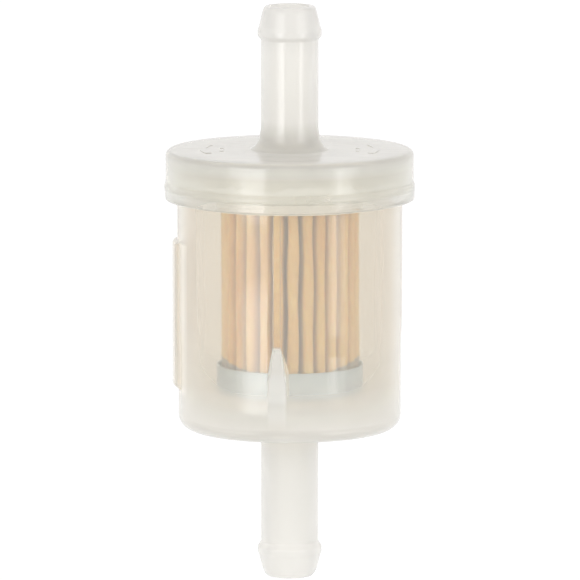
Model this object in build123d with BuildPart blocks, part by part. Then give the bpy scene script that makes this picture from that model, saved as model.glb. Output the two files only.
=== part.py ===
from build123d import *
import math
import os

# Inline fuel filter for a small engine, 1/4 inch hose barbs.
# Units mm. +Z runs from the inlet tip to the outlet tip, -Y is the front.
# Origin: centre of the inlet tip's end face.

# ---------------------------------------------------------------- driving sizes
H = 73.0              # overall length
BORE_R = 2.5          # flow passage
STEM_R = 3.65         # stem behind each barb
BARB_R = 4.05         # barb crest, for 6.35 mm bore hose
LAND = 0.6            # length of the barb's crest land

BOWL_R_UP = 14.30     # body wall outside, above the draft step
BOWL_R_LO = 14.14     # body wall outside, below the draft step
BOWL_IN_R = 13.2      # body wall inside
BOWL_BOT_Z = 19.05    # underside of the bowl
BOWL_FLOOR_Z = 20.45  # inside floor
FLANGE_R = 15.88      # weld flange
FLANGE_Z0 = 48.45     # flange underside
FLANGE_Z1 = 49.85     # flange top, where the bead starts
TONGUE_R = 14.6       # welding tongue outside
TONGUE_Z = 52.4       # top of the tongue

BEAD_R = 15.93        # bead outside
BEAD_IN_R = 14.72
BEAD_Z1 = 50.75       # bead top = lower edge of the lid skirt

LID_R = 15.74
LID_Z1 = 54.72        # lid top face
LID_Z0 = 53.1         # lid underside
SKIRT_IN_R = 14.7
PILOT_R0 = 11.7       # pilot ring that enters the bowl
PILOT_R1 = 13.1
PILOT_Z = 49.3
BOSS_R = 5.6          # shoulder the upper cap stops against
SPIGOT_R = 4.0        # spigot inside the upper cap's collar
SPIGOT_Z = 48.6

CAP_R = 9.3           # end caps, outside
CAP_T = 0.3           # end cap sheet
CAP_H = 3.65          # end cap height
CAP_LO_Z = 23.75      # underside of the lower cap
CAP_UP_Z = 51.35      # top of the upper cap
POT_T = 0.95          # adhesive thickness
POT_R = 8.96

PLEATS = 28
PAPER_T = 0.40
FOLD_OUT_R = 8.2      # circle through the outer folds' centres
FOLD_IN_R = 4.9       # circle through the inner folds' centres
FOLD_OUT = 0.45       # mid-sheet radius of an outer fold
FOLD_IN = 0.30        # mid-sheet radius of an inner fold
PLEAT_AZ = 272.8      # azimuth of the first outer fold

RIB_AZ = (263.0, 128.0, 52.0)   # three locating ribs, one in front and two behind
RIB_HALF = 1.15       # half width of a rib at its foot
RIB_THIN = 0.45       # half width of a rib above its point
RIB_IN_R = 9.42       # where a rib faces the lower cap
RIB_TOP_Z = 31.5      # point of the rib
PAD_AZ = 180.0        # raised pad on the side
PAD_ARC = 26.0        # degrees
PAD_R = 14.90
PAD_Z0 = 24.2
PAD_Z1 = 43.1

CLIP_T = 0.25
CLIP_LEG = 0.9

os.makedirs("parts", exist_ok=True)


def radial_plane(azimuth):
    """Plane through Z whose local x points along the azimuth and y along +Z."""
    a = math.radians(azimuth)
    return Plane(
        origin=(0, 0, 0),
        x_dir=(math.cos(a), math.sin(a), 0),
        z_dir=(math.sin(a), -math.cos(a), 0),
    )


# ---------------------------------------------------------------- locating rib
# Deep foot that centres and carries the lower cap, pointed above like a lancet.
with BuildPart() as rib:
    with BuildSketch(Plane.XZ):
        with BuildLine():
            Polyline(
                (BOWL_IN_R + 0.4, BOWL_FLOOR_Z - 0.4),
                (7.2, BOWL_FLOOR_Z - 0.4),
                (7.2, CAP_LO_Z),
                (RIB_IN_R, CAP_LO_Z),
                (RIB_IN_R, CAP_LO_Z + CAP_H),
                (BOWL_IN_R, RIB_TOP_Z),
                (BOWL_IN_R + 0.4, RIB_TOP_Z),
                close=True,
            )
        make_face()
    extrude(amount=RIB_HALF, both=True)
    with BuildSketch(Plane.YZ):
        with BuildLine():
            Polyline(
                (-RIB_HALF, BOWL_FLOOR_Z - 0.4),
                (RIB_HALF, BOWL_FLOOR_Z - 0.4),
                (RIB_HALF, 27.0),
                (RIB_HALF - 0.17, 28.0),
                (RIB_HALF - 0.36, 29.3),
                (RIB_THIN, RIB_TOP_Z),
                (-RIB_THIN, RIB_TOP_Z),
                (-RIB_HALF + 0.36, 29.3),
                (-RIB_HALF + 0.17, 28.0),
                (-RIB_HALF, 27.0),
                close=True,
            )
        make_face()
    extrude(amount=20, mode=Mode.INTERSECT)

# Shallow upper run of the rib, up to the mouth of the bowl.
with BuildPart() as rib_run:
    with BuildSketch(Plane.XY.offset(RIB_TOP_Z - 0.3)):
        with Locations((BOWL_IN_R + 0.01, 0)):
            Rectangle(0.78, 2 * RIB_THIN)
    extrude(amount=48.6 - RIB_TOP_Z + 0.3)

# ---------------------------------------------------------------- housing bowl
with BuildPart() as housing_bowl:
    with BuildSketch(Plane.XZ):
        with BuildLine():
            Polyline(
                (BORE_R, 0.0),
                (2.75, 0.0),
                (3.12, 0.35),
                (3.40, 0.80),
                (3.62, 1.55),
                (3.90, 2.70),
                (BARB_R, 3.15),
                (BARB_R, 3.15 + LAND),
                (STEM_R, 4.45),
                (STEM_R, BOWL_BOT_Z),
                (BOWL_R_LO, BOWL_BOT_Z),
                (BOWL_R_LO, 30.6),
                (BOWL_R_UP, 33.0),
                (BOWL_R_UP, FLANGE_Z0),
                (FLANGE_R - 0.06, FLANGE_Z0),
                (FLANGE_R, FLANGE_Z1),
                (TONGUE_R, FLANGE_Z1),
                (TONGUE_R, TONGUE_Z),
                (BOWL_IN_R, TONGUE_Z),
                (BOWL_IN_R, BOWL_FLOOR_Z),
                (BORE_R, BOWL_FLOOR_Z),
                close=True,
            )
        make_face()
    revolve(axis=Axis.Z)

    # Outside corner of the bowl, its inside corner, and the stem's root.
    fillet(
        housing_bowl.edges()
        .filter_by(GeomType.CIRCLE)
        .filter_by(lambda e: abs(e.radius - BOWL_R_LO) < 1e-4 and abs(e.center().Z - BOWL_BOT_Z) < 1e-4),
        radius=1.9,
    )
    fillet(
        housing_bowl.edges()
        .filter_by(GeomType.CIRCLE)
        .filter_by(lambda e: abs(e.radius - BOWL_IN_R) < 1e-4 and abs(e.center().Z - BOWL_FLOOR_Z) < 1e-4),
        radius=1.2,
    )
    fillet(
        housing_bowl.edges()
        .filter_by(GeomType.CIRCLE)
        .filter_by(lambda e: abs(e.radius - STEM_R) < 1e-4 and abs(e.center().Z - BOWL_BOT_Z) < 1e-4),
        radius=0.5,
    )
    fillet(
        housing_bowl.edges()
        .filter_by(GeomType.CIRCLE)
        .filter_by(lambda e: abs(e.radius - BOWL_R_UP) < 1e-4 and abs(e.center().Z - FLANGE_Z0) < 1e-4),
        radius=0.4,
    )
    fillet(
        housing_bowl.edges()
        .filter_by(GeomType.CIRCLE)
        .filter_by(lambda e: abs(e.radius - (FLANGE_R - 0.06)) < 1e-4 and abs(e.center().Z - FLANGE_Z0) < 1e-4),
        radius=0.25,
    )
    # Lead-in where the inlet passage opens into the bowl.
    chamfer(
        housing_bowl.edges()
        .filter_by(GeomType.CIRCLE)
        .filter_by(lambda e: abs(e.radius - BORE_R) < 1e-4 and abs(e.center().Z - BOWL_FLOOR_Z) < 1e-4),
        length=0.6,
    )

    # Raised pad on the side, square above and sloped away below.
    with BuildSketch(radial_plane(PAD_AZ - PAD_ARC / 2)):
        with BuildLine():
            Polyline(
                (BOWL_R_LO - 0.4, PAD_Z0),
                (BOWL_R_LO, PAD_Z0),
                (PAD_R, PAD_Z0 + 0.7),
                (PAD_R, PAD_Z1 - 0.35),
                (PAD_R - 0.25, PAD_Z1),
                (BOWL_R_LO - 0.4, PAD_Z1),
                close=True,
            )
        make_face()
    revolve(axis=Axis.Z, revolution_arc=PAD_ARC)

    # Three locating ribs.
    for azimuth in RIB_AZ:
        add(rib.part, rotation=(0, 0, azimuth))
        add(rib_run.part, rotation=(0, 0, azimuth))

# ---------------------------------------------------------------- housing lid
with BuildPart() as housing_lid:
    with BuildSketch(Plane.XZ):
        with BuildLine():
            Polyline(
                (BORE_R, SPIGOT_Z),
                (SPIGOT_R - 0.35, SPIGOT_Z),
                (SPIGOT_R, SPIGOT_Z + 0.5),
                (SPIGOT_R, CAP_UP_Z),
                (BOSS_R, CAP_UP_Z),
                (BOSS_R, LID_Z0),
                (PILOT_R0, LID_Z0),
                (PILOT_R0, PILOT_Z),
                (PILOT_R1 - 0.35, PILOT_Z),
                (PILOT_R1, PILOT_Z + 0.5),
                (PILOT_R1, LID_Z0),
                (SKIRT_IN_R, LID_Z0),
                (SKIRT_IN_R, BEAD_Z1),
                (LID_R, BEAD_Z1),
                (LID_R, LID_Z1),
                (5.0, LID_Z1),
                (4.35, LID_Z1 + 0.45),
                (3.93, LID_Z1 + 1.15),
                (3.72, LID_Z1 + 1.85),
                (STEM_R, LID_Z1 + 2.6),
                (STEM_R, H - 4.25),
                (BARB_R, H - 3.72),
                (BARB_R, H - 3.72 + LAND),
                (3.90, H - 2.60),
                (3.66, H - 1.60),
                (3.42, H - 0.70),
                (3.15, H - 0.22),
                (2.85, H),
                (BORE_R, H),
                close=True,
            )
        make_face()
    revolve(axis=Axis.Z)

    # Soft outside edge of the cover.
    fillet(
        housing_lid.edges()
        .filter_by(GeomType.CIRCLE)
        .filter_by(lambda e: abs(e.radius - LID_R) < 1e-4 and abs(e.center().Z - LID_Z1) < 1e-4),
        radius=0.7,
    )

    # Raised plain marks on the cover: two arcs and two short dashes a side.
    with BuildSketch(Plane.XY.offset(LID_Z1 - 0.05)):
        for middle in (0.0, 180.0):
            with BuildLine():
                a0 = math.radians(middle - 22)
                a1 = math.radians(middle + 22)
                am = math.radians(middle)
                CenterArc((0, 0), 10.6, middle - 22, 44)
                Line((10.6 * math.cos(a1), 10.6 * math.sin(a1)), (11.4 * math.cos(a1), 11.4 * math.sin(a1)))
                CenterArc((0, 0), 11.4, middle - 22, 44)
                Line((10.6 * math.cos(a0), 10.6 * math.sin(a0)), (11.4 * math.cos(a0), 11.4 * math.sin(a0)))
            make_face()
        for x in (-8.6, 8.6):
            with Locations((x, 0)):
                with GridLocations(0, 2.6, 1, 2):
                    Rectangle(0.55, 1.7)
    extrude(amount=0.25)

# ---------------------------------------------------------------- weld bead
with BuildPart() as weld_bead:
    with BuildSketch(Plane.XZ):
        with BuildLine():
            Polyline(
                (BEAD_IN_R, FLANGE_Z1),
                (FLANGE_R - 0.02, FLANGE_Z1),
                (BEAD_R, FLANGE_Z1 + 0.25),
                (BEAD_R, BEAD_Z1 - 0.30),
                (LID_R + 0.12, BEAD_Z1),
                (BEAD_IN_R, BEAD_Z1),
                close=True,
            )
        make_face()
    revolve(axis=Axis.Z)

# ---------------------------------------------------------------- pleated paper


def fold_points(k, r_out, r_in):
    """Tangent points of the flanks between outer fold k and its inner folds."""
    pitch = 2 * math.pi / PLEATS
    a = math.radians(PLEAT_AZ) + k * pitch
    c = (FOLD_OUT_R * math.cos(a), FOLD_OUT_R * math.sin(a))
    result = []
    for side in (-1, 1):
        b = a + side * pitch / 2
        i = (FOLD_IN_R * math.cos(b), FOLD_IN_R * math.sin(b))
        d = math.hypot(i[0] - c[0], i[1] - c[1])
        u = ((i[0] - c[0]) / d, (i[1] - c[1]) / d)
        t = (-math.sin(a), math.cos(a))
        v = (-u[1], u[0])
        if (v[0] * t[0] + v[1] * t[1]) * side < 0:
            v = (u[1], -u[0])
        cb = (r_out + r_in) / d
        sb = math.sqrt(1 - cb * cb)
        n = (cb * u[0] + sb * v[0], cb * u[1] + sb * v[1])
        result.append((c[0] + r_out * n[0], c[1] + r_out * n[1]))
        result.append((i[0] - r_in * n[0], i[1] - r_in * n[1]))
    crown = ((FOLD_OUT_R + r_out) * math.cos(a), (FOLD_OUT_R + r_out) * math.sin(a))
    valley_a = a + pitch / 2
    valley = ((FOLD_IN_R - r_in) * math.cos(valley_a), (FOLD_IN_R - r_in) * math.sin(valley_a))
    return result, crown, valley


PAPER_Z0 = CAP_LO_Z + CAP_T + POT_T
PAPER_Z1 = CAP_UP_Z - CAP_T - POT_T

with BuildPart() as pleated_paper:
    with BuildSketch(Plane.XY.offset(PAPER_Z0)):
        for grow, mode in ((PAPER_T / 2, Mode.ADD), (-PAPER_T / 2, Mode.SUBTRACT)):
            with BuildLine():
                for k in range(PLEATS):
                    here, crown, valley = fold_points(k, FOLD_OUT + grow, FOLD_IN - grow)
                    after, _, _ = fold_points(k + 1, FOLD_OUT + grow, FOLD_IN - grow)
                    ThreePointArc(here[0], crown, here[2])
                    Line(here[2], here[3])
                    ThreePointArc(here[3], valley, after[1])
                    Line(after[1], after[0])
            make_face(mode=mode)
    extrude(amount=PAPER_Z1 - PAPER_Z0)

# ---------------------------------------------------------------- end caps
with BuildPart() as lower_end_cap:
    with BuildSketch(Plane.XZ):
        with BuildLine():
            Polyline(
                (0.0, CAP_LO_Z),
                (CAP_R, CAP_LO_Z),
                (CAP_R, CAP_LO_Z + CAP_H),
                (CAP_R - CAP_T, CAP_LO_Z + CAP_H),
                (CAP_R - CAP_T, CAP_LO_Z + CAP_T),
                (0.0, CAP_LO_Z + CAP_T),
                close=True,
            )
        make_face()
    revolve(axis=Axis.Z)
    fillet(
        lower_end_cap.edges()
        .filter_by(GeomType.CIRCLE)
        .filter_by(lambda e: abs(e.radius - CAP_R) < 1e-4 and abs(e.center().Z - CAP_LO_Z) < 1e-4),
        radius=0.7,
    )
    fillet(
        lower_end_cap.edges()
        .filter_by(GeomType.CIRCLE)
        .filter_by(lambda e: abs(e.radius - (CAP_R - CAP_T)) < 1e-4 and abs(e.center().Z - (CAP_LO_Z + CAP_T)) < 1e-4),
        radius=0.4,
    )

with BuildPart() as upper_end_cap:
    with BuildSketch(Plane.XZ):
        with BuildLine():
            Polyline(
                (SPIGOT_R + 0.02, SPIGOT_Z + 0.9),
                (SPIGOT_R + 0.02, CAP_UP_Z),
                (CAP_R, CAP_UP_Z),
                (CAP_R, CAP_UP_Z - CAP_H),
                (CAP_R - CAP_T, CAP_UP_Z - CAP_H),
                (CAP_R - CAP_T, CAP_UP_Z - CAP_T),
                (SPIGOT_R + 0.02 + CAP_T, CAP_UP_Z - CAP_T),
                (SPIGOT_R + 0.02 + CAP_T, SPIGOT_Z + 0.9),
                close=True,
            )
        make_face()
    revolve(axis=Axis.Z)
    fillet(
        upper_end_cap.edges()
        .filter_by(GeomType.CIRCLE)
        .filter_by(lambda e: abs(e.radius - CAP_R) < 1e-4 and abs(e.center().Z - CAP_UP_Z) < 1e-4),
        radius=0.7,
    )
    fillet(
        upper_end_cap.edges()
        .filter_by(GeomType.CIRCLE)
        .filter_by(lambda e: abs(e.radius - (CAP_R - CAP_T)) < 1e-4 and abs(e.center().Z - (CAP_UP_Z - CAP_T)) < 1e-4),
        radius=0.4,
    )

# ---------------------------------------------------------------- adhesive
with BuildPart() as lower_potting:
    with BuildSketch(Plane.XZ):
        with BuildLine():
            Polyline(
                (0.0, CAP_LO_Z + CAP_T),
                (POT_R - 0.4, CAP_LO_Z + CAP_T),
                (POT_R, CAP_LO_Z + CAP_T + 0.4),
                (POT_R, PAPER_Z0),
                (0.0, PAPER_Z0),
                close=True,
            )
        make_face()
    revolve(axis=Axis.Z)

with BuildPart() as upper_potting:
    with BuildSketch(Plane.XZ):
        with BuildLine():
            Polyline(
                (SPIGOT_R + CAP_T + 0.06, PAPER_Z1),
                (POT_R, PAPER_Z1),
                (POT_R, CAP_UP_Z - CAP_T - 0.4),
                (POT_R - 0.4, CAP_UP_Z - CAP_T),
                (SPIGOT_R + CAP_T + 0.06, CAP_UP_Z - CAP_T),
                close=True,
            )
        make_face()
    revolve(axis=Axis.Z)

# ---------------------------------------------------------------- seam clip
# U strip over the outer fold of the pleat at the back.
CLIP_AZ = PLEAT_AZ + (PLEATS // 2) * 360.0 / PLEATS
CLIP_IN = FOLD_OUT + PAPER_T / 2 + 0.01
CLIP_OUT = CLIP_IN + CLIP_T
with BuildPart() as seam_clip:
    with BuildSketch(Plane.XY.offset(CAP_LO_Z + CAP_H + 0.3)):
        with Locations(Location((FOLD_OUT_R * math.cos(math.radians(CLIP_AZ)), FOLD_OUT_R * math.sin(math.radians(CLIP_AZ)), 0), (0, 0, CLIP_AZ))):
            Circle(CLIP_OUT)
            with Locations((-CLIP_LEG / 2, 0)):
                Rectangle(CLIP_LEG, 2 * CLIP_OUT)
            Circle(CLIP_IN, mode=Mode.SUBTRACT)
            with Locations((-2.0, 0)):
                Rectangle(4.0, 2 * CLIP_IN, mode=Mode.SUBTRACT)
            with Locations((-CLIP_LEG - 2.0, 0)):
                Rectangle(4.0, 4.0, mode=Mode.SUBTRACT)
    extrude(amount=(CAP_UP_Z - CAP_H - 0.3) - (CAP_LO_Z + CAP_H + 0.3))

# ---------------------------------------------------------------- export
housing_bowl.part.label = "housing_bowl"
export_step(housing_bowl.part, "parts/housing_bowl.step")
housing_lid.part.label = "housing_lid"
export_step(housing_lid.part, "parts/housing_lid.step")
weld_bead.part.label = "weld_bead"
export_step(weld_bead.part, "parts/weld_bead.step")
pleated_paper.part.label = "pleated_paper"
export_step(pleated_paper.part, "parts/pleated_paper.step")
lower_end_cap.part.label = "lower_end_cap"
export_step(lower_end_cap.part, "parts/lower_end_cap.step")
upper_end_cap.part.label = "upper_end_cap"
export_step(upper_end_cap.part, "parts/upper_end_cap.step")
lower_potting.part.label = "lower_potting"
export_step(lower_potting.part, "parts/lower_potting.step")
upper_potting.part.label = "upper_potting"
export_step(upper_potting.part, "parts/upper_potting.step")
seam_clip.part.label = "seam_clip"
export_step(seam_clip.part, "parts/seam_clip.step")
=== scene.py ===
import math
import random

import bmesh
import bpy
from mathutils import Matrix, Vector


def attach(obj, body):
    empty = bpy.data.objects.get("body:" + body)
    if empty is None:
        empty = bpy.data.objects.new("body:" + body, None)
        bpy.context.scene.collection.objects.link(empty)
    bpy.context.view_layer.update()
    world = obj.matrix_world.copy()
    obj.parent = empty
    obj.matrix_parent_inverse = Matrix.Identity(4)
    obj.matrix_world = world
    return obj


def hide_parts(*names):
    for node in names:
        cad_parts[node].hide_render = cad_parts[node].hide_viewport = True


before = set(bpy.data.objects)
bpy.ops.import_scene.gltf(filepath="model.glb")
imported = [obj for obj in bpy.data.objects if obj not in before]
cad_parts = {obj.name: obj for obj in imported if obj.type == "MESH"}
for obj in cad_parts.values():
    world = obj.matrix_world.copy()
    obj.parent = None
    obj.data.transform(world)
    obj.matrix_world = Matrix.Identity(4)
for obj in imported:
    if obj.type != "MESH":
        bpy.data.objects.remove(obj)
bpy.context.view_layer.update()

TAU = 2 * math.pi
MM = 0.001

scene = bpy.context.scene
scene.view_settings.view_transform = "Standard"
scene.view_settings.look = "None"


# ------------------------------------------------------------------ camera
def make_camera():
    e = math.radians(8.28)
    dist = 1.040
    aim = Vector((0.00004, 0.0, 0.0367))
    cam = bpy.data.cameras.new("cam")
    cam.sensor_width = 36.0
    cam.lens = 8190.0 * 36.0 / 580.0
    cam.clip_start = 0.05
    cam.clip_end = 20.0
    o = bpy.data.objects.new("cam", cam)
    o.location = aim + Vector((0, -dist * math.cos(e), dist * math.sin(e)))
    o.rotation_euler = (math.pi / 2 - e, 0, 0)
    scene.collection.objects.link(o)
    scene.camera = o


make_camera()


# ------------------------------------------------------------------ mesh helpers
def add_object(name, verts, faces, mat, sharp=30.0):
    me = bpy.data.meshes.new(name)
    me.from_pydata([(x * MM, y * MM, z * MM) for x, y, z in verts], [], faces)
    me.validate()
    o = bpy.data.objects.new(name, me)
    scene.collection.objects.link(o)
    if mat:
        me.materials.append(mat)
    finish_mesh(o, sharp)
    return o


def finish_mesh(o, sharp=30.0):
    me = o.data
    bm = bmesh.new()
    bm.from_mesh(me)
    bmesh.ops.recalc_face_normals(bm, faces=bm.faces)
    bm.to_mesh(me)
    bm.free()
    me.polygons.foreach_set("use_smooth", [True] * len(me.polygons))
    me.set_sharp_from_angle(angle=math.radians(sharp))
    me.update()


def rounded(points, steps=5):
    """Closed profile [(r, z) or (r, z, radius)] with its corners rounded."""
    out = []
    n = len(points)
    for i, p in enumerate(points):
        rad = p[2] if len(p) > 2 else 0.0
        if rad <= 0:
            out.append((p[0], p[1]))
            continue
        a = Vector(points[i - 1][:2])
        b = Vector(p[:2])
        c = Vector(points[(i + 1) % n][:2])
        u = (a - b).normalized()
        v = (c - b).normalized()
        half = math.acos(max(-1, min(1, u.dot(v)))) / 2
        cut = rad / math.tan(half)
        centre = b + (u + v).normalized() * (rad / math.sin(half))
        s = b + u * cut
        t = b + v * cut
        a0 = math.atan2(s.y - centre.y, s.x - centre.x)
        a1 = math.atan2(t.y - centre.y, t.x - centre.x)
        d = (a1 - a0 + math.pi) % TAU - math.pi
        k = max(2, int(round(steps * abs(d) / (math.pi / 2) + 0.5)))
        for j in range(k + 1):
            w = a0 + d * j / k
            out.append((centre.x + rad * math.cos(w), centre.y + rad * math.sin(w)))
    return out


def densify(profile, longest):
    out = []
    for i, p in enumerate(profile):
        q = profile[(i + 1) % len(profile)]
        d = math.hypot(q[0] - p[0], q[1] - p[1])
        k = max(1, int(math.ceil(d / longest)))
        for j in range(k):
            t = j / k
            out.append((p[0] + (q[0] - p[0]) * t, p[1] + (q[1] - p[1]) * t))
    return out


def spin(name, profile, mat, segs=240, warp=None, sharp=30.0, longest=None):
    """Turns a closed (r, z) profile round Z. Points on the axis share a vertex."""
    if longest:
        profile = densify(profile, longest)
    verts, faces, index = [], [], []
    for r, z in profile:
        if r < 1e-6:
            verts.append((0.0, 0.0, z))
            index.append([len(verts) - 1] * segs)
            continue
        row = []
        for j in range(segs):
            a = TAU * j / segs
            rr, zz = warp(r, a, z) if warp else (r, z)
            verts.append((rr * math.cos(a), rr * math.sin(a), zz))
            row.append(len(verts) - 1)
        index.append(row)
    n = len(profile)
    for i in range(n):
        k = (i + 1) % n
        for j in range(segs):
            m = (j + 1) % segs
            f = [index[i][j], index[i][m], index[k][m], index[k][j]]
            f = [v for q, v in enumerate(f) if v != f[q - 1]]
            if len(set(f)) >= 3:
                faces.append(f)
    return add_object(name, verts, faces, mat, sharp)


def prism(name, outline, depth_axis, lo, hi, mat):
    """Closed prism. outline is a list of (u, v); depth runs lo to hi."""
    verts, faces = [], []
    n = len(outline)
    for d in (lo, hi):
        for u, v in outline:
            verts.append({"y": (u, d, v), "x": (d, u, v), "z": (u, v, d)}[depth_axis])
    faces.append(list(range(n))[::-1])
    faces.append(list(range(n, 2 * n)))
    for i in range(n):
        k = (i + 1) % n
        faces.append([i, k, n + k, n + i])
    return add_object(name, verts, faces, mat)


def turn(o, degrees):
    o.data.transform(Matrix.Rotation(math.radians(degrees), 4, "Z"))


def boolean(base, tool, how="UNION"):
    m = base.modifiers.new("b", "BOOLEAN")
    m.operation = how
    m.solver = "EXACT"
    m.object = tool
    bpy.context.view_layer.update()
    dg = bpy.context.evaluated_depsgraph_get()
    me = bpy.data.meshes.new_from_object(base.evaluated_get(dg))
    base.modifiers.clear()
    old = base.data
    base.data = me
    bpy.data.meshes.remove(old)
    t = tool.data
    bpy.data.objects.remove(tool)
    bpy.data.meshes.remove(t)


# ------------------------------------------------------------------ materials
class Mat:
    """Small helper that wires a node material."""

    def __init__(self, name):
        self.mat = bpy.data.materials.new(name)
        self.mat.use_nodes = True
        self.nt = self.mat.node_tree
        self.nt.nodes.clear()
        self.out = self.nt.nodes.new("ShaderNodeOutputMaterial")
        self.p = self.nt.nodes.new("ShaderNodeBsdfPrincipled")
        self.coord = self.nt.nodes.new("ShaderNodeTexCoord").outputs["Object"]
        self.nt.links.new(self.p.outputs[0], self.out.inputs["Surface"])

    def set(self, **values):
        for key, value in values.items():
            self.p.inputs[key.replace("_", " ")].default_value = value
        return self

    def link(self, a, b):
        self.nt.links.new(a, b)

    def scaled(self, sx, sy, sz):
        n = self.nt.nodes.new("ShaderNodeMapping")
        n.inputs["Scale"].default_value = (sx, sy, sz)
        self.link(self.coord, n.inputs["Vector"])
        return n.outputs[0]

    def noise(self, vector, scale, detail=3.0, rough=0.5, dist=0.0):
        n = self.nt.nodes.new("ShaderNodeTexNoise")
        n.inputs["Scale"].default_value = scale
        n.inputs["Detail"].default_value = detail
        n.inputs["Roughness"].default_value = rough
        n.inputs["Distortion"].default_value = dist
        self.link(vector, n.inputs["Vector"])
        return n.outputs["Fac"]

    def ramp(self, fac, stops):
        n = self.nt.nodes.new("ShaderNodeValToRGB")
        while len(n.color_ramp.elements) < len(stops):
            n.color_ramp.elements.new(0.5)
        for el, (pos, col) in zip(n.color_ramp.elements, stops):
            el.position = pos
            el.color = (*col, 1.0)
        self.link(fac, n.inputs["Fac"])
        return n.outputs["Color"]

    def rng(self, fac, a, b, c, d):
        n = self.nt.nodes.new("ShaderNodeMapRange")
        for key, v in zip(("From Min", "From Max", "To Min", "To Max"), (a, b, c, d)):
            n.inputs[key].default_value = v
        self.link(fac, n.inputs["Value"])
        return n.outputs["Result"]

    def math(self, op, a, b):
        n = self.nt.nodes.new("ShaderNodeMath")
        n.operation = op
        for i, v in enumerate((a, b)):
            if isinstance(v, (int, float)):
                n.inputs[i].default_value = v
            else:
                self.link(v, n.inputs[i])
        return n.outputs[0]

    def bump(self, height, strength, distance):
        n = self.nt.nodes.new("ShaderNodeBump")
        n.inputs["Strength"].default_value = strength
        n.inputs["Distance"].default_value = distance
        self.link(height, n.inputs["Height"])
        self.link(n.outputs[0], self.p.inputs["Normal"])
        return n


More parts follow.
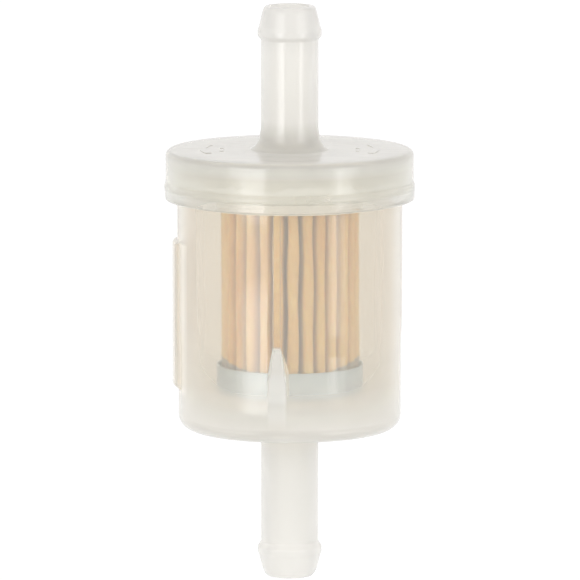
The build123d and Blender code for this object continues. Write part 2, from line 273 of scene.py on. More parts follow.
def plastic(name, tint, levels, rough, see=0.93, edge=0.72, polish=None):
    """Milky moulded plastic: part glass, part diffuse, lamps pass through it.
    levels is [(z in mm, colour, how clear)], because thick places are milkier."""
    m = Mat(name)
    nt = m.nt
    m.set(IOR=1.46, Roughness=rough)
    sep = nt.nodes.new("ShaderNodeSeparateXYZ")
    m.link(m.coord, sep.inputs[0])
    z = sep.outputs["Z"]
    z_lo, z_hi = levels[0][0], levels[-1][0]
    along = m.rng(z, z_lo * MM, z_hi * MM, 0.0, 1.0)
    place = [(q - z_lo) / (z_hi - z_lo) for q, _, _ in levels]
    col = m.ramp(along, [(t, c) for t, (_, c, _) in zip(place, levels)])
    clear = m.ramp(along, [(t, (c, c, c)) for t, (_, _, c) in zip(place, levels)])
    cloud = m.noise(m.scaled(1, 1, 0.5), 90.0, 2.0, 0.5)
    shade = m.ramp(cloud, [(0.3, tint[0]), (0.7, tint[1])])
    mul = nt.nodes.new("ShaderNodeMix")
    mul.data_type = "RGBA"
    mul.blend_type = "MULTIPLY"
    mul.inputs["Factor"].default_value = 1.0
    m.link(col, mul.inputs["A"])
    m.link(shade, mul.inputs["B"])
    pale = nt.nodes.new("ShaderNodeMix")
    pale.data_type = "RGBA"
    m.link(mul.outputs["Result"], pale.inputs["A"])
    pale.inputs["B"].default_value = (0.98, 0.985, 0.98, 1.0)
    m.link(pale.outputs["Result"], m.p.inputs["Base Color"])
    # Seen edge-on the wall is a longer way through, so the glass part falls off.
    lw = nt.nodes.new("ShaderNodeLayerWeight")
    lw.inputs["Blend"].default_value = 0.5
    f2 = m.math("POWER", lw.outputs["Facing"], 2.0)
    keep = m.math("SUBTRACT", 1.0, m.math("MULTIPLY", f2, edge))
    rad = m.math("SQRT", m.math("ADD", m.math("POWER", m.math("ABSOLUTE", sep.outputs["X"], 0.0), 2.0), m.math("POWER", m.math("ABSOLUTE", sep.outputs["Y"], 0.0), 2.0)), 0.0)
    outside = m.math("MULTIPLY", m.rng(rad, 0.01436, 0.01446, 0.0, 1.0), m.rng(z, 0.0465, 0.0475, 1.0, 0.0))
    flank = m.math("MULTIPLY", m.rng(sep.outputs["X"], -0.0135, -0.0129, 1.0, 0.0), m.math("MULTIPLY", m.rng(z, 0.0236, 0.0244, 0.0, 1.0), m.rng(z, 0.0430, 0.0434, 1.0, 0.0)))
    outside = m.math("MAXIMUM", outside, flank)
    keep = m.math("MULTIPLY", keep, m.math("SUBTRACT", 1.0, m.math("MULTIPLY", outside, 0.45)))
    ribs = m.math("MULTIPLY", m.rng(rad, 0.01308, 0.01318, 1.0, 0.0), m.math("MULTIPLY", m.rng(z, 0.0208, 0.0215, 0.0, 1.0), m.rng(z, 0.0305, 0.0315, 1.0, 0.0)))
    keep = m.math("MULTIPLY", keep, m.math("SUBTRACT", 1.0, m.math("MULTIPLY", ribs, 0.75)))
    # The wall in front of the front rib is one thick, milkier piece with it.
    off = m.math("SUBTRACT", m.math("ABSOLUTE", m.math("ADD", sep.outputs["X"], 0.0016), 0.0), m.rng(z, 0.0270, 0.0315, 0.00112, 0.00042))
    thick = m.math("MULTIPLY", m.rng(off, -0.00018, 0.00018, 1.0, 0.0), m.math("MULTIPLY", m.rng(z, 0.0205, 0.0245, 0.0, 1.0), m.rng(z, 0.0310, 0.0316, 1.0, 0.0)))
    thick = m.math("MULTIPLY", thick, m.math("MULTIPLY", m.rng(sep.outputs["Y"], -0.0105, -0.0095, 1.0, 0.0), m.rng(rad, 0.0135, 0.0137, 0.0, 1.0)))
    keep = m.math("MULTIPLY", keep, m.math("SUBTRACT", 1.0, m.math("MULTIPLY", thick, 0.13)))
    m.link(m.math("MAXIMUM", ribs, m.math("MULTIPLY", thick, 0.45)), pale.inputs["Factor"])
    m.link(m.math("MULTIPLY", clear, keep), m.p.inputs["Transmission Weight"])
    fine = m.noise(m.coord, 1400.0, 2.0, 0.5)
    flow = m.noise(m.scaled(1, 1, 0.25), 160.0, 2.0, 0.5)
    h = m.math("ADD", m.math("MULTIPLY", flow, 1.0), m.math("MULTIPLY", fine, 0.03))
    # Heat has drawn the plastic out in level streaks by the weld.
    drawn = m.noise(m.scaled(1, 1, 9.0), 240.0, 3.0, 0.6)
    seam = m.math("MULTIPLY", m.rng(z, 0.0483, 0.0487, 0.0, 1.0), m.rng(z, 0.0502, 0.0509, 1.0, 0.0))
    h = m.math("ADD", h, m.math("MULTIPLY", m.math("MULTIPLY", drawn, seam), 0.7))
    m.bump(h, 0.30, 0.0002)
    if polish:
        lo, hi, smooth = polish
        zone = m.math("MULTIPLY", m.rng(z, (lo - 0.03) * MM, lo * MM, 0.0, 1.0), m.rng(z, hi * MM, (hi + 0.1) * MM, 1.0, 0.0))
        m.link(m.rng(zone, 0.0, 1.0, rough, smooth), m.p.inputs["Roughness"])
    # Lamps shine through: shadow rays see mostly nothing.
    lp = nt.nodes.new("ShaderNodeLightPath")
    tr = nt.nodes.new("ShaderNodeBsdfTransparent")
    tr.inputs["Color"].default_value = (0.94, 0.92, 0.88, 1.0)
    mix = nt.nodes.new("ShaderNodeMixShader")
    fac = m.math("MULTIPLY", lp.outputs["Is Shadow Ray"], see)
    nt.links.new(fac, mix.inputs["Fac"])
    nt.links.new(m.p.outputs[0], mix.inputs[1])
    nt.links.new(tr.outputs[0], mix.inputs[2])
    nt.links.new(mix.outputs[0], m.out.inputs["Surface"])
    return m.mat


WALL = (0.93, 0.89, 0.815)
COLLAR = (0.86, 0.85, 0.80)
STEM = (0.91, 0.90, 0.875)
FOOT = (0.90, 0.88, 0.83)
# Darker colour for the foot of the lid's stem: painted shade where little light reaches it.
STEM_ROOT_SHADE = (0.75, 0.735, 0.70)
MAT_BOWL = plastic(
    "bowl_plastic", ((0.97, 0.97, 0.965), (1.0, 1.0, 1.0)),
    [(0.0, STEM, 0.50), (16.0, STEM, 0.50), (19.0, FOOT, 0.42), (22.5, FOOT, 0.56), (25.5, WALL, 0.74), (28.5, WALL, 0.82), (48.2, WALL, 0.84), (48.5, (0.88, 0.875, 0.84), 0.80), (49.8, (0.88, 0.875, 0.83), 0.74), (53.0, COLLAR, 0.72)], 0.08)
# The lid's colour levels from 54.7 to 55.6 mm paint shade round the foot of the stem, easing back to the stem colour by
# 58.5 mm.
MAT_LID = plastic(
    "lid_plastic", ((0.97, 0.97, 0.965), (1.0, 1.0, 1.0)),
    [(48.0, COLLAR, 0.70), (52.6, COLLAR, 0.70), (53.6, COLLAR, 0.58), (54.7, STEM_ROOT_SHADE, 0.55), (55.6, STEM_ROOT_SHADE, 0.55), (58.5, STEM, 0.50), (67.0, STEM, 0.50), (69.5, (0.86, 0.85, 0.83), 0.50), (73.0, (0.86, 0.85, 0.83), 0.50)], 0.10, polish=(54.70, 54.80, 0.035))
MAT_WELD = plastic(
    "weld_plastic", ((0.95, 0.95, 0.94), (1.0, 1.0, 1.0)),
    [(49.0, COLLAR, 0.72), (51.0, COLLAR, 0.72)], 0.10)
MAT_FLASH = plastic(
    "flash_plastic", ((0.97, 0.97, 0.96), (1.0, 1.0, 1.0)),
    [(49.0, (0.97, 0.97, 0.95), 0.06), (52.0, (0.97, 0.97, 0.95), 0.06)], 0.30)


def paper():
    m = Mat("filter_paper")
    m.set(Roughness=0.92)
    m.p.inputs["Specular IOR Level"].default_value = 0.2
    # Resin-soaked paper glows a little where light comes through a fold.
    m.p.inputs["Subsurface Weight"].default_value = 0.5
    m.p.inputs["Subsurface Scale"].default_value = 0.0016
    m.p.inputs["Subsurface Radius"].default_value = (1.0, 0.42, 0.16)
    fibre = m.noise(m.scaled(1, 1, 0.35), 2600.0, 4.0, 0.65, 0.6)
    cloud = m.noise(m.scaled(1, 1, 0.3), 260.0, 3.0, 0.55)
    both = m.math("ADD", m.math("MULTIPLY", fibre, 0.45), m.math("MULTIPLY", cloud, 0.55))
    col = m.ramp(both, [(0.30, (0.665, 0.38, 0.135)), (0.50, (0.785, 0.50, 0.19)), (0.70, (0.865, 0.615, 0.285))])
    # No two folds took quite the same colour in the oven.
    fold = m.noise(m.scaled(1, 1, 0.06), 330.0, 1.0, 0.5)
    tone = m.ramp(fold, [(0.36, (0.93, 0.80, 0.68)), (0.52, (1.0, 1.0, 1.0)), (0.66, (1.0, 1.04, 1.12))])
    mul = m.nt.nodes.new("ShaderNodeMix")
    mul.data_type = "RGBA"
    mul.blend_type = "MULTIPLY"
    mul.inputs["Factor"].default_value = 1.0
    m.link(col, mul.inputs["A"])
    m.link(tone, mul.inputs["B"])
    col = mul.outputs["Result"]
    # Painted shade: the folds just above the lower cap's rim are darkened to a bluish dark, more at the sides, where
    # the rim keeps light off them.
    sep = m.nt.nodes.new("ShaderNodeSeparateXYZ")
    m.link(m.coord, sep.inputs[0])
    side = m.rng(m.math("ABSOLUTE", sep.outputs["X"], 0.0), 0.0050, 0.0086, -0.0006, 0.0007)
    edge = m.math("ADD", side, m.math("MULTIPLY", cloud, 0.0009))
    rim_shade = m.rng(m.math("SUBTRACT", sep.outputs["Z"], edge), 0.02715, 0.02745, 1.0, 0.0)
    mix = m.nt.nodes.new("ShaderNodeMix")
    mix.data_type = "RGBA"
    m.link(m.math("MULTIPLY", rim_shade, 0.8), mix.inputs["Factor"])
    m.link(col, mix.inputs["A"])
    # Colour of the painted shade above the rim.
    mix.inputs["B"].default_value = (0.20, 0.26, 0.27, 1.0)
    m.link(mix.outputs["Result"], m.p.inputs["Base Color"])
    m.bump(fibre, 0.5, 0.00008)
    return m.mat


def tin():
    m = Mat("tinplate")
    m.set(Metallic=1.0)
    streak = m.noise(m.scaled(1, 1, 3.0), 300.0, 2.0, 0.5)
    blot = m.noise(m.coord, 380.0, 3.0, 0.6)
    col = m.ramp(blot, [(0.35, (0.45, 0.585, 0.72)), (0.65, (0.57, 0.70, 0.83))])
    sep = m.nt.nodes.new("ShaderNodeSeparateXYZ")
    m.link(m.coord, sep.inputs[0])
    high = m.rng(sep.outputs["Z"], 0.040, 0.044, 0.0, 1.0)
    mix = m.nt.nodes.new("ShaderNodeMix")
    mix.data_type = "RGBA"
    m.link(high, mix.inputs["Factor"])
    m.link(col, mix.inputs["A"])
    mix.inputs["B"].default_value = (0.90, 0.87, 0.82, 1.0)
    m.link(mix.outputs["Result"], m.p.inputs["Base Color"])
    m.link(m.rng(sep.outputs["Z"], 0.040, 0.044, 1.0, 0.45), m.p.inputs["Metallic"])
    m.link(m.rng(streak, 0.3, 0.7, 0.30, 0.42), m.p.inputs["Roughness"])
    m.bump(streak, 0.10, 0.00004)
    return m.mat


def glue():
    m = Mat("potting")
    m.set(Roughness=0.45)
    n = m.noise(m.coord, 600.0, 3.0, 0.6)
    m.link(m.ramp(n, [(0.3, (0.60, 0.50, 0.34)), (0.7, (0.72, 0.63, 0.46))]), m.p.inputs["Base Color"])
    m.bump(n, 0.4, 0.0001)
    return m.mat


MAT_PAPER = paper()
MAT_TIN = tin()
MAT_GLUE = glue()


def joint():
    """Where two mouldings have melted into one, light crosses with no bend."""
    mat = bpy.data.materials.new("melted_joint")
    mat.use_nodes = True
    nt = mat.node_tree
    nt.nodes.clear()
    out = nt.nodes.new("ShaderNodeOutputMaterial")
    tr = nt.nodes.new("ShaderNodeBsdfTransparent")
    tr.inputs["Color"].default_value = (0.985, 0.98, 0.96, 1.0)
    nt.links.new(tr.outputs[0], out.inputs["Surface"])
    return mat


MAT_JOINT = joint()


def fuse(o, levels, r_min):
    """Gives the level faces at a weld the melted joint's finish."""
    o.data.materials.append(MAT_JOINT)
    for f in o.data.polygons:
        if abs(f.normal.z) < 0.99:
            continue
        r = math.hypot(f.center.x, f.center.y) / MM
        if r > r_min and any(abs(f.center.z / MM - z) < 0.004 for z in levels):
            f.material_index = 1


# ------------------------------------------------------------------ housing bowl
FACE_UP = 14.30
FACE_LO = 14.14
WALL_IN = 13.2
BOT = 19.05
FLOOR = 20.45


def make_bowl():
    profile = rounded([
        (2.50, 0.0, 0.18),
        (2.86, 0.0, 0.22),
        (3.20, 0.40, 0.5),
        (3.45, 0.98, 0.8),
        (3.63, 1.62, 1.5),
        (3.90, 2.70, 1.2),
        (4.06, 3.12, 0.5),
        (4.06, 3.80, 0.4),
        (3.65, 4.45, 0.35),
        (3.65, BOT, 0.5),
        (FACE_LO, BOT, 1.9),
        (FACE_LO, 29.9, 12.0),
        (FACE_UP, 33.6, 12.0),
        (FACE_UP, 48.45, 0.35),
        (15.82, 48.45, 0.2),
        (15.88, 49.84, 0.0),
        (14.6, 49.84, 0.0),
        (14.6, 52.38, 0.2),
        (13.2, 52.38, 0.2),
        (13.2, FLOOR, 1.2),
        (2.5, FLOOR, 0.55),
    ], 6)

    def warp(r, a, z):
        # A moulded wall is never quite round: a few microns of waver.
        w = 0.012 * math.sin(3 * a + 0.7) + 0.008 * math.sin(5 * a + 0.21 * z)
        return (r + w if r > 10 and 20 < z < 47.5 else r), z

    o = spin("bowl_shell", profile, MAT_BOWL, 256, warp, 28.0, 3.0)

    # Raised pad on the side.
    pad_half = math.radians(13.0)
    verts, faces = [], []
    cols = 26
    section = rounded([
        (13.75, 24.2), (14.10, 24.2), (14.90, 24.95, 0.35), (14.90, 43.1, 0.28), (13.75, 43.1),
    ], 4)
    n = len(section)
    for j in range(cols + 1):
        t = -1 + 2 * j / cols
        edge = max(0.0, abs(t) - 0.955) / 0.045
        for r, z in section:
            rr = r - 0.28 * (1 - math.sqrt(max(0.0, 1 - edge * edge))) if r > 14.2 else r
            a = math.pi + pad_half * t
            verts.append((rr * math.cos(a), rr * math.sin(a), z))
    for j in range(cols):
        for i in range(n):
            k = (i + 1) % n
            faces.append([j * n + i, j * n + k, (j + 1) * n + k, (j + 1) * n + i])
    faces.append(list(range(n)))
    faces.append([cols * n + i for i in range(n)][::-1])
    boolean(o, add_object("pad_tool", verts, faces, None))

    # Three locating ribs: pointed above, deep below, carrying the lower cap.
    for az in (263.0, 128.0, 52.0):
        side = [(13.6, 20.0), (7.2, 20.0), (7.2, 23.74), (9.42, 23.74), (9.42, 27.35), (9.7, 27.75), (13.15, 31.5), (13.6, 31.5)]
        verts, faces = [], []
        levels = [20.0, 23.74, 27.35, 27.75, 28.6, 29.6, 30.6, 31.5]

        def width(z):
            if z <= 27.0:
                return 1.15
            t = (31.5 - z) / 4.5
            return 0.45 + 0.70 * math.sin(t * math.pi / 2) ** 1.2

        rows = []
        for z in levels:
            if z <= 23.74:
                inner = 7.2
            elif z <= 27.35:
                inner = 9.42
            else:
                inner = 9.42 + (z - 27.35) / (31.5 - 27.35) * (13.15 - 9.42)
            rows.append((z, inner, width(z)))
        rows.insert(2, (23.74, 9.42, 1.15))
        m = 6
        for z, inner, w in rows:
            ring = [(13.6, -w)]
            for q in range(m + 1):
                t = -1 + 2 * q / m
                ring.append((inner + 0.12 * t * t * t * t, w * t * 0.999))
            ring.append((13.6, w))
            for x, y in ring:
                verts.append((x, y, z))
        n = m + 3
        for i in range(len(rows) - 1):
            for q in range(n):
                k = (q + 1) % n
                faces.append([i * n + q, i * n + k, (i + 1) * n + k, (i + 1) * n + q])
        faces.append(list(range(n))[::-1])
        faces.append([(len(rows) - 1) * n + q for q in range(n)])
        deep = add_object("rib_tool", verts, faces, None)
        turn(deep, az)
        boolean(o, deep)
        run = prism("run_tool", rounded([(13.5, -0.45), (12.83, -0.45, 0.12), (12.83, 0.45, 0.12), (13.5, 0.45)], 3), "z", 31.2, 48.6, None)
        turn(run, az)
        boolean(o, run)
    finish_mesh(o, 28.0)
    fuse(o, (49.84,), 14.6)
    return o


bowl = make_bowl()
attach(bowl, "root")
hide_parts("housing_bowl")


# ------------------------------------------------------------------ housing lid
def make_lid():
    profile = rounded([
        (2.50, 48.6, 0.15),
        (3.65, 48.6, 0.2),
        (4.0, 49.1, 0.2),
        (4.0, 51.34, 0.0),
        (5.6, 51.34, 0.15),
        (5.6, 53.1, 0.3),
        (11.7, 53.1, 0.3),
        (11.7, 49.3, 0.15),
        (12.75, 49.3, 0.2),
        (13.08, 49.8, 0.2),
        (13.08, 53.1, 0.1),
        (14.72, 53.1, 0.2),
        (14.72, 50.78, 0.05),
        (15.74, 50.78, 0.0),
        (15.74, 54.72, 0.70),
        (5.02, 54.72, 0.35),
        (4.30, 55.25, 1.0),
        (3.90, 55.95, 2.0),
        (3.65, 57.4, 3.0),
        (3.65, 68.75, 0.35),
        (4.06, 69.22, 0.45),
        (4.06, 69.90, 0.5),
        (3.90, 70.40, 1.4),
        (3.66, 71.40, 2.0),
        (3.44, 72.30, 1.0),
        (3.25, 72.82, 0.25),
        (3.00, 73.0, 0.12),
        (2.50, 73.0, 0.15),
    ], 6)
    o = spin("lid_shell", profile, MAT_LID, 256, None, 28.0, 3.0)

    # Raised plain marks: two arcs and two short dashes a side.
    for middle in (0.0, 180.0):
        arc = []
        for j in range(25):
            a = math.radians(middle - 22 + 44 * j / 24)
            arc.append((11.4 * math.cos(a), 11.4 * math.sin(a)))
        for j in range(25):
            a = math.radians(middle + 22 - 44 * j / 24)
            arc.append((10.6 * math.cos(a), 10.6 * math.sin(a)))
        boolean(o, prism("mark_tool", arc, "z", 54.6, 54.79, None))
    for x in (-8.6, 8.6):
        for y in (-1.3, 1.3):
            dash = rounded([(x - 0.275, y - 0.85, 0.2), (x + 0.275, y - 0.85, 0.2), (x + 0.275, y + 0.85, 0.2), (x - 0.275, y + 0.85, 0.2)], 3)
            boolean(o, prism("mark_tool", dash, "z", 54.6, 54.79, None))
    finish_mesh(o, 28.0)
    fuse(o, (50.78,), 14.7)
    return o


lid = make_lid()
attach(lid, "root")
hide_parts("housing_lid")


# ------------------------------------------------------------------ weld bead and flash
def make_weld():
    rnd = random.Random(7)
    ph = [rnd.uniform(0, TAU) for _ in range(12)]

    def waver(a, scale=1.0):
        s = 0
        for i, k in enumerate((5, 9, 14, 23, 37, 61)):
            s += math.sin(k * a + ph[i]) / (1 + 0.35 * i)
        return s * scale

    # The bead fills the joint between the flange and the skirt.
    profile = rounded([
        (14.72, 49.835, 0.0),
        (15.876, 49.835, 0.0),
        (15.905, 49.95, 0.08),
        (15.91, 50.10, 0.15),
        (15.86, 50.38, 0.3),
        (15.775, 50.64, 0.3),
        (15.738, 50.785, 0.0),
        (14.72, 50.785, 0.0),
    ], 4)

    def warp(r, a, z):
        if r > 15.84:
            q = max(0.0, 1 - abs(z - 50.1) / 0.3)
            return min(15.925, r + 0.014 * q * waver(a + 0.6, 0.6)), z
        return r, z

    fuse(spin("weld_ring", profile, MAT_WELD, 300, warp, 60.0), (49.835, 50.785), 14.7)

    # Flash squeezed up between the tongue and the skirt, with a ragged edge.
    n = 420
    verts, faces = [], []
    for j in range(n):
        a = TAU * j / n
        top = 51.50 + 0.42 * waver(a * 1.0, 0.45) + 0.12 * math.sin(97 * a + 1.0)
        low = 50.70 + 0.22 * waver(a + 2.1, 0.45)
        for r, z in ((14.62, low), (14.685, low), (14.685, top), (14.62, top)):
            verts.append((r * math.cos(a), r * math.sin(a), z))
    for j in range(n):
        k = (j + 1) % n
        for i in range(4):
            q = (i + 1) % 4
            faces.append([4 * j + i, 4 * k + i, 4 * k + q, 4 * j + q])
    return add_object("weld_flash", verts, faces, MAT_FLASH, 40.0)


flash = make_weld()
weld = bpy.data.objects["weld_ring"]
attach(weld, "root")
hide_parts("weld_bead")
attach(flash, "root")


# ------------------------------------------------------------------ pleated paper
def make_paper():
    pleats = 28
    pitch = TAU / pleats
    first = math.radians(272.8)
    z0, z1 = 25.02, 50.08
    rnd = random.Random(11)
    waves = []
    for _ in range(16):
        waves.append((rnd.choice((3, 5, 7, 9, 11, 13)), rnd.uniform(0.18, 0.75), rnd.uniform(0, TAU), rnd.uniform(0.4, 1.0)))
    shift = [rnd.uniform(-0.11, 0.11) * pitch for _ in range(pleats)]
    grow = [rnd.uniform(-0.22, 0.02) for _ in range(pleats)]

    def warp(x, y, z):
        r = math.hypot(x, y)
        a = math.atan2(y, x)
        s = sum(w * math.sin(m * a + f * z + p) for m, f, p, w in waves) / 4.0
        ends = min(1.0, (z - z0) / 2.5, (z1 - z) / 2.5)
        s *= 0.10 * (0.35 + 0.65 * max(0.0, ends))
        k = ((a - first) / pitch) % pleats
        lo = int(k) % pleats
        t = k - int(k)
        t = t * t * (3 - 2 * t)
        da = shift[lo] * (1 - t) + shift[(lo + 1) % pleats] * t
        dr = grow[lo] * (1 - t) + grow[(lo + 1) % pleats] * t
        q = max(0.0, min(1.0, (r - 5.5) / 2.5))
        a += da + s / max(r, 1.0)
        r += dr * q + 0.25 * s * q
        return r * math.cos(a), r * math.sin(a), z

    def boundary(g):
        r_out = 0.45 + g
        r_in = 0.30 - g
        pts = []
        for k in range(pleats):
            a = first + k * pitch
            c = Vector((8.2 * math.cos(a), 8.2 * math.sin(a)))
            marks = []
            for side in (-1, 1):
                b = a + side * pitch / 2
                i = Vector((4.9 * math.cos(b), 4.9 * math.sin(b)))
                u = (i - c).normalized()
                d = (i - c).length
                tng = Vector((-math.sin(a), math.cos(a)))
                v = Vector((-u.y, u.x))
                if v.dot(tng) * side < 0:
                    v = -v
                cb = (r_out + r_in) / d
                nrm = u * cb + v * math.sqrt(1 - cb * cb)
                marks.append((c + nrm * r_out, i - nrm * r_in, nrm, i))
            # outer fold from its left to its right tangent point
            l0 = math.atan2(marks[0][2].y, marks[0][2].x) - a
            l1 = math.atan2(marks[1][2].y, marks[1][2].x) - a
            l0 = (l0 + math.pi) % TAU - math.pi
            l1 = (l1 + math.pi) % TAU - math.pi
            for j in range(9):
                w = a + l0 + (l1 - l0) * j / 8
                pts.append((c.x + r_out * math.cos(w), c.y + r_out * math.sin(w)))
            p, q = marks[1][0], marks[1][1]
            for j in range(1, 7):
                t = j / 7
                pts.append((p.x + (q.x - p.x) * t, p.y + (q.y - p.y) * t))
            # inner fold
            b = a + pitch / 2
            n1 = -marks[1][2]
            s0 = math.atan2(n1.y, n1.x) - (b + math.pi)
            s0 = (s0 + math.pi) % TAU - math.pi
            i = marks[1][3]
            for j in range(7):
                w = b + math.pi + s0 * (1 - 2 * j / 6)
                pts.append((i.x + r_in * math.cos(w), i.y + r_in * math.sin(w)))
            # next flank, out again
            a2 = a + pitch
            c2 = Vector((8.2 * math.cos(a2), 8.2 * math.sin(a2)))
            u = (i - c2).normalized()
            d = (i - c2).length
            tng = Vector((-math.sin(a2), math.cos(a2)))
            v = Vector((-u.y, u.x))
            if v.dot(tng) > 0:
                v = -v
            cb = (r_out + r_in) / d
            nrm = u * cb + v * math.sqrt(1 - cb * cb)
            p = i - nrm * r_in
            q = c2 + nrm * r_out
            for j in range(1, 7):
                t = j / 7
                pts.append((p.x + (q.x - p.x) * t, p.y + (q.y - p.y) * t))
        return pts

    outer = boundary(0.2)
    inner = boundary(-0.2)
    n = len(outer)
    nz = 44
    verts, faces = [], []
    for loop in (outer, inner):
        for i in range(nz + 1):
            z = z0 + (z1 - z0) * i / nz
            for x, y in loop:
                verts.append(warp(x, y, z))
    size = n * (nz + 1)
    for s in (0, 1):
        for i in range(nz):
            for j in range(n):
                k = (j + 1) % n
                f = [s * size + i * n + j, s * size + i * n + k, s * size + (i + 1) * n + k, s * size + (i + 1) * n + j]
                faces.append(f if s == 0 else f[::-1])
    for j in range(n):
        k = (j + 1) % n
        faces.append([j, k, size + k, size + j][::-1])
        top = nz * n
        faces.append([top + j, top + k, size + top + k, size + top + j])
    return add_object("paper_pleats", verts, faces, MAT_PAPER, 50.0)


pleats = make_paper()
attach(pleats, "root")
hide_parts("pleated_paper")


# ------------------------------------------------------------------ end caps
def make_caps():
    rnd = random.Random(3)
    ph = [rnd.uniform(0, TAU) for _ in range(6)]

    def dented(r, a, z):
        if r > 8.6:
            r += 0.012 * math.sin(7 * a + ph[0]) + 0.009 * math.sin(13 * a + ph[1] + z)
        return r, z

    lower = spin("cap_lower", rounded([
        (0.0, 23.76), (4.6, 23.76, 0.5), (5.0, 23.95, 0.5), (7.4, 23.95, 0.5), (7.8, 23.76, 0.4),
        (9.28, 23.76, 0.42), (9.28, 27.1, 0.3), (9.34, 27.4, 0.06), (9.08, 27.4, 0.06), (8.99, 27.0, 0.2),
        (8.99, 24.05, 0.15), (7.8, 24.05, 0.3), (7.4, 24.24, 0.3), (5.0, 24.24, 0.3), (4.6, 24.05, 0.3), (0.0, 24.05),
    ], 5), MAT_TIN, 200, dented, 30.0, 1.6)
    upper = spin("cap_upper", rounded([
        (4.02, 49.5), (4.02, 51.33), (5.9, 51.33, 0.2), (9.28, 51.33, 0.75), (9.28, 48.0, 0.3), (9.34, 47.72, 0.06), (9.08, 47.72, 0.06),
        (8.99, 48.1, 0.2), (8.99, 51.03, 0.42), (4.34, 51.03, 0.15), (4.34, 49.5),
    ], 5), MAT_TIN, 200, dented, 30.0, 1.6)
    return lower, upper


cap_lo, cap_up = make_caps()
for piece, node in ((cap_lo, "lower_end_cap"), (cap_up, "upper_end_cap")):
    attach(piece, "root")
    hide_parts(node)

for node, mat in (("lower_potting", MAT_GLUE), ("upper_potting", MAT_GLUE), ("seam_clip", MAT_TIN)):
    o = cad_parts[node]
    o.data.materials.clear()
    o.data.materials.append(mat)


# ------------------------------------------------------------------ stage
def make_stage():
    # A plain white floor. What the object mirrors of it dims towards the front.
    mat = bpy.data.materials.new("floor")
    mat.use_nodes = True
    nt = mat.node_tree
    nt.nodes.clear()
    out = nt.nodes.new("ShaderNodeOutputMaterial")
    em = nt.nodes.new("ShaderNodeEmission")
    tc = nt.nodes.new("ShaderNodeTexCoord")
    sep = nt.nodes.new("ShaderNodeSeparateXYZ")
    rng = nt.nodes.new("ShaderNodeMapRange")
    lp = nt.nodes.new("ShaderNodeLightPath")
    mx = nt.nodes.new("ShaderNodeMath")
    mx.operation = "MAXIMUM"
    for key, v in zip(("From Min", "From Max", "To Min", "To Max"), (-0.10, 0.06, FRONT, BACK)):
        rng.inputs[key].default_value = v
    nt.links.new(tc.outputs["Object"], sep.inputs[0])
    nt.links.new(sep.outputs["Y"], rng.inputs["Value"])
    cam_white = nt.nodes.new("ShaderNodeMath")
    cam_white.operation = "MULTIPLY"
    cam_white.inputs[1].default_value = 1.05
    nt.links.new(lp.outputs["Is Camera Ray"], cam_white.inputs[0])
    nt.links.new(rng.outputs["Result"], mx.inputs[0])
    nt.links.new(cam_white.outputs[0], mx.inputs[1])
    nt.links.new(mx.outputs[0], em.inputs["Strength"])
    nt.links.new(em.outputs[0], out.inputs["Surface"])
    n = 48
    verts, faces = [(0, 0, -0.2)], []
    radii = [0.3, 0.8, 1.6, 3.0, 5.0]
    for r in radii:
        for j in range(n):
            a = TAU * j / n
            verts.append((1000 * r * math.cos(a), 1000 * r * math.sin(a), -0.2))
    for j in range(n):
        faces.append([0, 1 + j, 1 + (j + 1) % n])
    for i in range(len(radii) - 1):
        for j in range(n):
            k = (j + 1) % n
            faces.append([1 + i * n + j, 1 + (i + 1) * n + j, 1 + (i + 1) * n + k, 1 + i * n + k])
    o = add_object("floor", verts, faces, mat, 60.0)

    w = bpy.data.worlds.new("studio")
    scene.world = w
    w.use_nodes = True
    nt = w.node_tree
    bg = nt.nodes["Background"]
    bg.inputs["Color"].default_value = (1.0, 0.99, 0.98, 1.0)
    tc = nt.nodes.new("ShaderNodeTexCoord")
    sep = nt.nodes.new("ShaderNodeSeparateXYZ")
    rng = nt.nodes.new("ShaderNodeMapRange")
    for key, v in zip(("From Min", "From Max", "To Min", "To Max"), (0.035, 0.095, FRONT, BACK)):
        rng.inputs[key].default_value = v
    lp = nt.nodes.new("ShaderNodeLightPath")
    mx = nt.nodes.new("ShaderNodeMath")
    mx.operation = "MAXIMUM"
    lean = nt.nodes.new("ShaderNodeMath")
    lean.operation = "MULTIPLY_ADD"
    lean.inputs[1].default_value = 0.103
    nt.links.new(tc.outputs["Generated"], sep.inputs[0])
    nt.links.new(sep.outputs["X"], lean.inputs[0])
    nt.links.new(sep.outputs["Y"], lean.inputs[2])
    nt.links.new(lean.outputs[0], rng.inputs["Value"])
    nt.links.new(rng.outputs["Result"], mx.inputs[0])
    nt.links.new(lp.outputs["Is Camera Ray"], mx.inputs[1])
    nt.links.new(mx.outputs[0], bg.inputs["Strength"])


FRONT = 0.88
BACK = 0.96
make_stage()


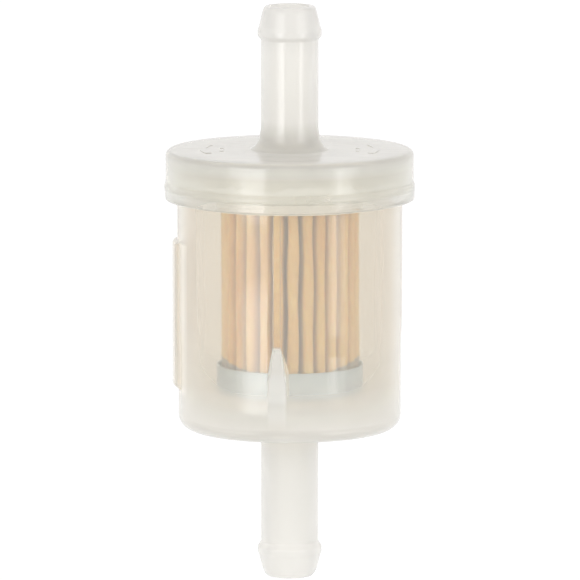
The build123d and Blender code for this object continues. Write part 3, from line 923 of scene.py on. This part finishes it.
def softbox(name, az, el, dist, width, height, power, target=(0, 0, 0.04), color=(1, 1, 1), fill=True):
    """az: degrees to the right of the camera as seen from the object."""
    light = bpy.data.lights.new(name, "AREA")
    light.shape = "RECTANGLE"
    light.size = width
    light.size_y = height
    light.energy = power
    light.color = color
    o = bpy.data.objects.new(name, light)
    a = math.radians(az)
    e = math.radians(el)
    d = Vector((math.sin(a) * math.cos(e), -math.cos(a) * math.cos(e), math.sin(e)))
    t = Vector(target)
    o.location = t + d * dist
    o.rotation_euler = (-d).to_track_quat("-Z", "Y").to_euler()
    o.visible_camera = False
    o.visible_transmission = False
    o.visible_diffuse = fill
    scene.collection.objects.link(o)
    return o


def card(name, az0, az1, dist, z0, z1, radiance):
    """An upright card between two azimuths and two heights (mm), facing the axis.
    It only makes a highlight; the soft boxes do the lighting."""
    w = 2 * dist * MM * math.tan(math.radians(abs(az1 - az0)) / 2)
    h = (z1 - z0) * MM
    softbox(name, (az0 + az1) / 2, 0.0, dist * MM, w, h, radiance * math.pi * w * h, (0, 0, (z0 + z1) / 2 * MM), (1, 1, 1), False)


for i, (az0, az1, part) in enumerate(((-21.5, -42.0, 1.0), (-42.0, -47.0, 0.6), (-47.0, -53.0, 0.25))):
    for k, (z0, z1, radiance) in enumerate(((0.0, 22.4, 4.9), (22.4, 33.0, 1.9), (33.0, 40.0, 3.9), (40.0, 58.0, 3.0), (58.0, 80.0, 2.4))):
        card("key_%d_%d" % (i, k), az0, az1, 125.0, z0, z1, radiance * part)
for i, (az0, az1, part) in enumerate(((37.5, 42.0, 0.5), (42.0, 48.0, 1.0), (48.0, 56.0, 0.45))):
    for k, (z0, z1, radiance) in enumerate(((7.0, 33.0, 3.0), (33.0, 40.0, 4.2), (40.0, 80.0, 3.2))):
        card("shine_%d_%d" % (i, k), az0, az1, 125.0, z0, z1, radiance * part)
softbox("fill_left", -40.0, 12.0, 0.6, 0.4, 0.4, 1.05)
softbox("fill_right", 48.0, 12.0, 0.6, 0.4, 0.4, 0.85)
softbox("top", 0.0, 80.0, 0.8, 0.6, 0.6, 0.10)
